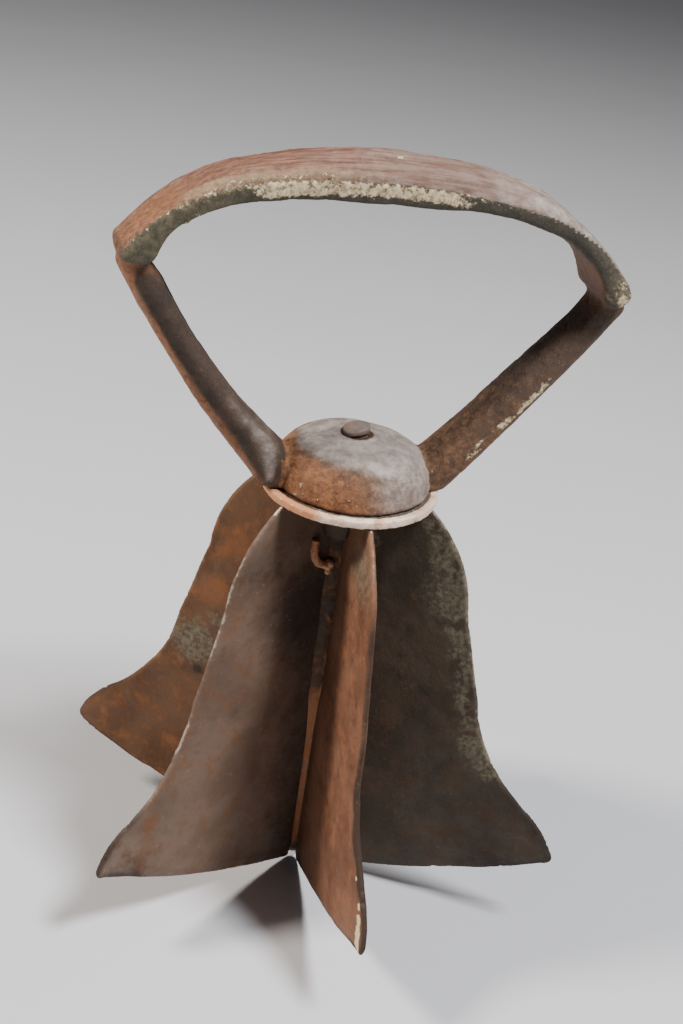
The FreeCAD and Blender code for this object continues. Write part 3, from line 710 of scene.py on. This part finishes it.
def blade(number, look):
    """One blade: edges ground and rounded, plate slightly sprung, nicked and worn."""
    node = f"blade_{number}"
    along, across = plane_of(node)
    piece = copy_of(node, node + "_worn")
    remesh(piece, BLADE_VOXEL)
    mesh = piece.data
    relax(mesh, 2)
    co = points_of(mesh)
    reach, side, height = co @ along, co @ across, co[:, 2].copy()
    gap, way = nearest_rim(*rim_of(node, along, across), reach, height)
    cutting = ease(-way[:, 1], 0.35, 0.7)
    side *= edge_thickness(gap, cutting)
    shift = SEED + 13.0 * number
    flat = np.stack([reach, height, np.zeros_like(reach)], axis=1)
    free = np.clip(reach / (60 * MM), 0, 1)**1.5 * ease(height, 104 * MM, 80 * MM)
    sprung = cloud(flat, 45 * MM, 2, shift) * 2.2 * MM * free
    ripple = cloud(flat, 9 * MM, 3, shift + 5) * 0.22 * MM * free * fade(gap, 4 * MM)
    dents = cloud(flat, 5 * MM, 3, shift + 9) * 0.07 * MM * np.clip(reach / (10 * MM), 0, 1)
    nicks = np.clip(cloud(flat, 3.4 * MM, 3, shift + 2) - 0.30, 0, 1) * 1.3 * MM
    wave = cloud(flat, 11 * MM, 2, shift + 4) * 0.35 * MM * (height < 100 * MM)
    own_nicks, nicked = nick_edge(look, reach, height)
    bite = (nicks + wave) * hump(gap, 0.0, 1.6 * MM) * free + own_nicks
    reach -= way[:, 0] * bite
    height -= way[:, 1] * bite
    side += sprung + ripple + dents
    co = reach[:, None] * along + side[:, None] * across
    co[:, 2] = height
    set_points(mesh, co)
    at = SimpleNamespace(reach=reach, height=height, gap=gap, cutting=cutting, nicked=nicked,
                         flat=flat, shift=shift)
    paint(mesh, **blade_layers(look, at))
    material = steel_material(node + "_rust", look["dark"], look["mid"], look["warm"], look["worn"],
                              warm_share=0.7, blotch=look.get("blotch", 0.55), shift=shift)
    return piece, material


# ---------------------------------------------------------------- small pieces

def turned(node, voxel, rounds, lumps, size, shape=None, **looks):
    """Remeshed copy of a small node, its skin rough with lumps size metres across and lumps metres high.
    shape moves the points at the end, and looks gives a rule of place and normal for each paint layer."""
    piece = copy_of(node, node + "_worn")
    remesh(piece, voxel)
    mesh = piece.data
    relax(mesh, rounds)
    co = points_of(mesh)
    normal = normals_of(mesh)
    layers = dict.fromkeys(("edge", "orange", "grey", "soot", "cream"), np.zeros(len(co)))
    layers.update({name: rule(co, normal) for name, rule in looks.items()})
    co += normal * (cloud(co, size, 4, 2.0) * lumps)[:, None]
    if shape:
        co = shape(co)
    set_points(mesh, co)
    paint(mesh, **layers)
    return piece


def hammered_head(co):
    """The rivet's head sits a little off centre and is not quite round."""
    head = ease(co[:, 2], 119.6 * MM, 120.4 * MM)
    turn = np.arctan2(co[:, 1], co[:, 0])
    co[:, :2] *= (1 + 0.05 * head * np.cos(3 * turn + 0.6))[:, None]
    co[:, 0] -= 0.5 * MM * head
    co[:, 2] += 0.25 * co[:, 0] * head * (co[:, 2] > 120.8 * MM)
    return co


def fade_fillets(co):
    """The braze runs thin out towards their lower ends."""
    reach = np.hypot(co[:, 0], co[:, 1])
    wave = 1.5 * MM * np.sin(7 * np.arctan2(co[:, 1], co[:, 0]))
    thin = ease(co[:, 2] + wave, 62 * MM, 34 * MM)
    slim = 1 - thin * 0.48 * np.clip((reach - 2.4 * MM) / (2.2 * MM), 0, 1)
    co[:, :2] *= slim[:, None]
    return co


def floor():
    """A plain pale table top, a hair below the blades."""
    bpy.ops.mesh.primitive_plane_add(size=6.0, location=(0, 0, CAD_BOX[0][2] - 0.1 * MM))
    plane = bpy.context.object
    plane.name = "floor"
    s = Shader("pale_table")
    grain = s.noise(0.6 * MM, 4)
    colour = s.mix(s.noise(120 * MM, 2), (0.58, 0.585, 0.61), (0.62, 0.625, 0.65))
    plane.data.materials.append(s.finish(colour, 0.55, 0.0, grain, 0.02 * MM))


def lamp(name, heading, lift, away, width, power, colour):
    """Round soft light, aimed at the blades: heading and lift in degrees, away and width in metres."""
    aim = Vector((0.0, 0.0, 0.09))
    turn, rise = math.radians(heading), math.radians(lift)
    way = Vector((math.cos(turn) * math.cos(rise), math.sin(turn) * math.cos(rise), math.sin(rise)))
    light = bpy.data.lights.new(name, "AREA")
    light.shape = "DISK"
    light.size = width
    light.energy = power
    light.color = colour
    item = bpy.data.objects.new(name, light)
    item.location = aim + way * away
    item.rotation_euler = (-way).to_track_quat("-Z", "Y").to_euler()
    bpy.context.scene.collection.objects.link(item)


def lights():
    """A warm soft light from the left, a cooler one from the front right, and a faint sky."""
    lamp("left_softbox", 175.0, 42.0, 1.0, 0.20, 13.5, (1.0, 0.92, 0.84))
    lamp("front_right_softbox", 318.0, 61.0, 1.0, 0.24, 17.0, (0.98, 0.985, 1.0))
    world = bpy.data.worlds.new("studio")
    world.use_nodes = True
    background = world.node_tree.nodes["Background"]
    background.inputs["Color"].default_value = (0.96, 0.97, 1.0, 1.0)
    background.inputs["Strength"].default_value = 0.085
    bpy.context.scene.world = world


def camera():
    """Long lens, above and a little left of the handle's front, rolled as the tool leans."""
    place = Vector((-81.6, -287.41, 251.54)) * MM
    heading, dip, roll = math.radians(15.68), math.radians(26.9), math.radians(8.47)
    ahead = Vector((math.sin(heading) * math.cos(dip), math.cos(heading) * math.cos(dip), -math.sin(dip)))
    data = bpy.data.cameras.new("photograph_view")
    data.sensor_width = 36.0
    data.lens = 51.49
    data.clip_start = 0.01
    item = bpy.data.objects.new("photograph_view", data)
    item.matrix_world = (
        Matrix.Translation(place)
        @ ahead.to_track_quat("-Z", "Y").to_matrix().to_4x4()
        @ Matrix.Rotation(roll, 4, "Z")
    )
    bpy.context.scene.collection.objects.link(item)
    bpy.context.scene.camera = item


# The look of each blade.  dark, mid, warm and worn are its tones, and blotch is the strength of its dark
# blotches.  orange, grey, soot and cream are lists of soft spots: place (reach from the axis, 0, height),
# radius and strength; the soot spots are dark patches, and on blade 4 near the hub painted shade.
# soot_reach is how far the dark spreads from the axis, as grime and as painted shade where the blades meet,
# and tip and rim say how strong the dark is at the tip and along the edge.  rub is how bright the edge is
# worn, fringe a grey stain along the edge (lowest and highest place, depth, strength), and nicks are notches
# (reach, height, width, depth).  Lengths are in millimetres.
LOOKS = {
    1: {"dark": (0.058, 0.036, 0.024), "mid": (0.10, 0.064, 0.043), "warm": (0.17, 0.080, 0.037),
        "worn": (0.30, 0.24, 0.19), "orange": [((40, 0, 40), 18, 0.7)], "grey": [((30, 0, 75), 8, 0.6)]},
    2: {"dark": (0.062, 0.038, 0.025), "mid": (0.11, 0.070, 0.047), "warm": (0.19, 0.087, 0.040),
        "worn": (0.30, 0.24, 0.19), "orange": [((30, 0, 85), 14, 0.7)], "grey": [((42, 0, 45), 9, 0.6)]},
    3: {"dark": (0.100, 0.045, 0.021), "mid": (0.145, 0.073, 0.037), "warm": (0.27, 0.108, 0.042),
        "worn": (0.15, 0.09, 0.055), "soot_reach": 4, "blotch": 0.35,
        "orange": [((30, 0, 70), 6, 0.8), ((25, 0, 84), 7, 0.75), ((43, 0, 46), 2.6, 0.7),
                   ((42, 0, 40), 2.4, 0.5)],
        "grey": [((33.5, 0, 54), 7, 1.15), ((28, 0, 62), 4, 0.7)], "soot": [((32, 0, 46), 2.0, 1.0)]},
    4: {"dark": (0.118, 0.075, 0.053), "mid": (0.168, 0.112, 0.081), "warm": (0.165, 0.074, 0.034),
        "worn": (0.45, 0.36, 0.29), "soot_reach": 24, "blotch": 0.3,
        "orange": [((48, 0, 31), 2.4, 1.0), ((48.5, 0, 27), 2.4, 1.0), ((49, 0, 23), 2.3, 1.0),
                   ((49.5, 0, 18.5), 2.2, 0.9), ((31, 0, 77), 5, 0.5)],
        "grey": [((40, 0, 40), 6, 0.3)],
        # the wide dark spot near the hub at (16, 0, 78) and the soot_reach of 24 are painted shade; the
        # other dark spots are dark patches on the steel
        "soot": [((58, 0, 15), 4.0, 0.85), ((53, 0, 12), 2.5, 0.6), ((24, 0, 92), 9, 0.62),
                 ((52, 0, 19), 9, 0.45), ((16, 0, 78), 13, 0.55)]},
    5: {"dark": (0.140, 0.061, 0.032), "mid": (0.21, 0.098, 0.055), "warm": (0.29, 0.117, 0.055),
        "worn": (0.30, 0.22, 0.16), "soot_reach": 14, "tip": 0.3, "rim": 0.8, "rub": 0.55,
        "cream": [((56, 0, 18.5), 1.8, 0.8), ((55, 0, 21), 2.0, 0.9), ((54, 0, 23.5), 2.0, 0.9),
                  ((52.8, 0, 26), 1.8, 0.85), ((51.4, 0, 28.5), 1.5, 0.7), ((47, 0, 33), 0.9, 0.7)],
        "grey": [((20, 0, 96), 11, 0.7)],
        "soot": [((46, 0, 41), 4.5, 1.1), ((43.5, 0, 50), 4.0, 1.1), ((50, 0, 34), 2.8, 1.1)],
        "nicks": [(42.5, 50, 2.2, 0.5), (45.5, 42, 2.0, 0.5)]},
    6: {"dark": (0.046, 0.034, 0.023), "mid": (0.078, 0.056, 0.038), "warm": (0.10, 0.060, 0.034),
        "worn": (0.30, 0.24, 0.18), "soot_reach": 10, "fringe": (44, 100, 6.0, 0.85),
        "orange": [((46, 0, 24), 16, 0.4)],
        "grey": [((27, 0, 86), 9, 0.6), ((42, 0, 46), 5, 0.5)], "soot": [((46, 0, 20), 16, 0.55)]},
}


def put(piece, material, node, slot):
    """Give the piece its one material, and let it stand for its CAD node."""
    piece.data.materials.clear()
    piece.data.materials.append(material)
    for polygon in piece.data.polygons:
        polygon.use_smooth = True
    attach(piece, "root")
    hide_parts(node)


def rivet():
    """The long rivet: a dull head on the dome, and a shank that is rusty below and carries painted shade
    above, between the blades
    """
    def orange(co, normal):
        return 0.9 * ease(co[:, 2], 60 * MM, 36 * MM) * ease(co[:, 2], 3 * MM, 7 * MM)

    # painted shade: the shank darkened where it stands in shade between the blades
    def soot(co, normal):
        return 0.9 * ease(co[:, 2], 40 * MM, 72 * MM) * (co[:, 2] < 118 * MM)

    def edge(co, normal):
        return 0.4 * (co[:, 2] > 121.5 * MM)

    material = steel_material("dull_rivet_steel", (0.11, 0.085, 0.068), (0.23, 0.19, 0.165),
                              (0.34, 0.14, 0.06), (0.42, 0.37, 0.33), warm_share=0.95, shift=2.0)
    piece = turned("spindle", 0.28 * MM, 2, 0.10 * MM, 2.0 * MM, hammered_head,
                   orange=orange, soot=soot, edge=edge)
    return piece, material


def plate():
    """The pale flange plate: rusty at its left, with painted shade underneath and a painted shadow line
    where the dome sits on it.
    """
    def orange(co, normal):
        return 1.0 * ease(co[:, 0], -6 * MM, -15 * MM)

    def edge(co, normal):
        return 0.35 * ease(np.hypot(co[:, 0], co[:, 1]), 19.2 * MM, 19.8 * MM)

    def soot(co, normal):
        # painted shadow line under the dome's foot, and painted shade over the plate's underside
        under_dome = ease(np.hypot(co[:, 0], co[:, 1]), 18.9 * MM, 18.2 * MM)
        return 0.95 * under_dome + 1.0 * ease(-normal[:, 2], 0.4, 0.8)

    material = steel_material("pale_plate", (0.52, 0.36, 0.27), (0.86, 0.67, 0.53), (0.50, 0.21, 0.09),
                              (0.86, 0.76, 0.69), warm_share=0.95, shift=5.0)
    piece = turned("flange_plate", 0.28 * MM, 3, 0.14 * MM, 1.6 * MM, orange=orange, edge=edge, soot=soot)
    return piece, material


def collar():
    """The dark tapered collar under the plate, its darkness partly painted shade from the plate above."""
    # dark tones: rust, partly painted shade under the plate
    material = steel_material("dark_collar", (0.035, 0.023, 0.016), (0.06, 0.04, 0.028),
                              (0.10, 0.052, 0.028), (0.25, 0.2, 0.17), shift=8.0)
    return turned("hub_collar", 0.35 * MM, 4, 0.2 * MM, 3.0 * MM), material


def fillets():
    """The braze between the blades, dark with oxide and painted shade, and brighter orange towards its lower
    ends.
    """
    def orange(co, normal):
        return 0.9 * ease(co[:, 2], 66 * MM, 42 * MM)

    # dark and mid tones: oxide, darkened further as painted shade between the blades
    material = steel_material("oxidised_braze_and_shade", (0.038, 0.021, 0.012), (0.070, 0.038, 0.021),
                              (0.34, 0.14, 0.06), (0.4, 0.3, 0.2), warm_share=0.95, shift=11.0)
    piece = turned("braze_fillets", 0.3 * MM, 4, 0.30 * MM, 4.0 * MM, fade_fillets, orange=orange)
    return piece, material


def drip():
    """The curled run of bright braze under the plate."""
    material = steel_material("bright_braze", (0.30, 0.135, 0.070), (0.50, 0.27, 0.16),
                              (0.55, 0.28, 0.15), (0.7, 0.5, 0.36), shift=14.0)
    return turned("braze_drip", 0.14 * MM, 6, 0.22 * MM, 1.1 * MM), material


def main():
    floor()
    lights()
    camera()
    put(*handle(), "handle_casting", "cast_handle")
    for number in range(1, BLADES + 1):
        put(*blade(number, LOOKS[number]), f"blade_{number}", "blade_steel")
    put(*rivet(), "spindle", "rivet_steel")
    put(*plate(), "flange_plate", "plate_steel")
    put(*collar(), "hub_collar", "collar_steel")
    put(*fillets(), "braze_fillets", "braze")
    put(*drip(), "braze_drip", "braze")


main()
